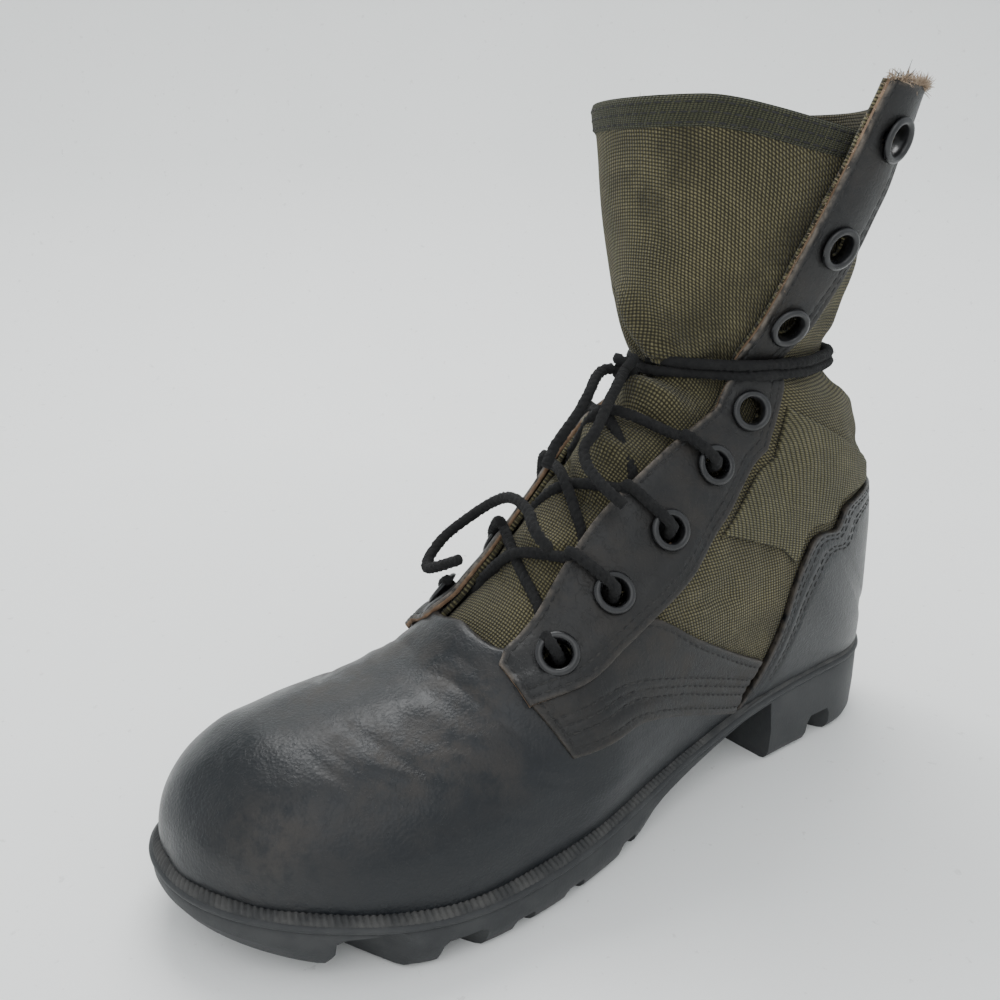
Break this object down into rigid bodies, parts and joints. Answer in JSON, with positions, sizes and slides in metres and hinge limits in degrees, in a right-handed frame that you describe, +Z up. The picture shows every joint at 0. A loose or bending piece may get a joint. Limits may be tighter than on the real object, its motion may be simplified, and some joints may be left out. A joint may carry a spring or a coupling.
{
  "type": "jungle boot",
  "caption": "Left jungle boot: lugged moulded sole, leather vamp and counter, canvas shaft, laced throat and wide tongue.",
  "frame": {"origin": "on the floor under the middle of the heel tread", "axes": "+Z up, toe towards -Y, the wearer's left, which is this boot's outer side, towards +X"},
  "size_m": [0.1207, 0.305, 0.2496],
  "materials": {
    "rubber": "matt black moulded rubber",
    "canvas": "olive cotton canvas",
    "leather": "black leather, dull",
    "worn_leather": "black leather, scuffed",
    "webbing": "olive nylon webbing",
    "tape": "olive binding tape",
    "enamel": "black enamel",
    "insole_fabric": "woven sock lining",
    "lace_cord": "fuzzy black braid"
  },
  "bodies": {
    "root": {"ankle_patch_inner": "webbing", "ankle_patch_outer": "webbing", "backstay": "webbing", "collar_binding": "tape", "counter": "leather", "eyelet_inner_1": "enamel", "eyelet_inner_2": "enamel", "eyelet_inner_3": "enamel", "eyelet_inner_4": "enamel", "eyelet_inner_5": "enamel", "eyelet_inner_6": "enamel", "eyelet_inner_7": "enamel", "eyelet_inner_8": "enamel", "eyelet_outer_1": "enamel", "eyelet_outer_2": "enamel", "eyelet_outer_3": "enamel", "eyelet_outer_4": "enamel", "eyelet_outer_5": "enamel", "eyelet_outer_6": "enamel", "eyelet_outer_7": "enamel", "eyelet_outer_8": "enamel", "eyestay_inner": "leather", "eyestay_outer": "leather", "insole": "insole_fabric", "lace_end_a": "lace_cord", "lace_end_b": "lace_cord", "lace_knot": "lace_cord", "lace_loop": "lace_cord", "lace_strand_a": "lace_cord", "lace_strand_b": "lace_cord", "lace_wrap": "lace_cord", "outsole": "rubber", "saddle_inner": "worn_leather", "saddle_outer": "worn_leather", "tongue": "canvas", "upper": "canvas", "vamp": "worn_leather"}
  },
  "joints": []
}
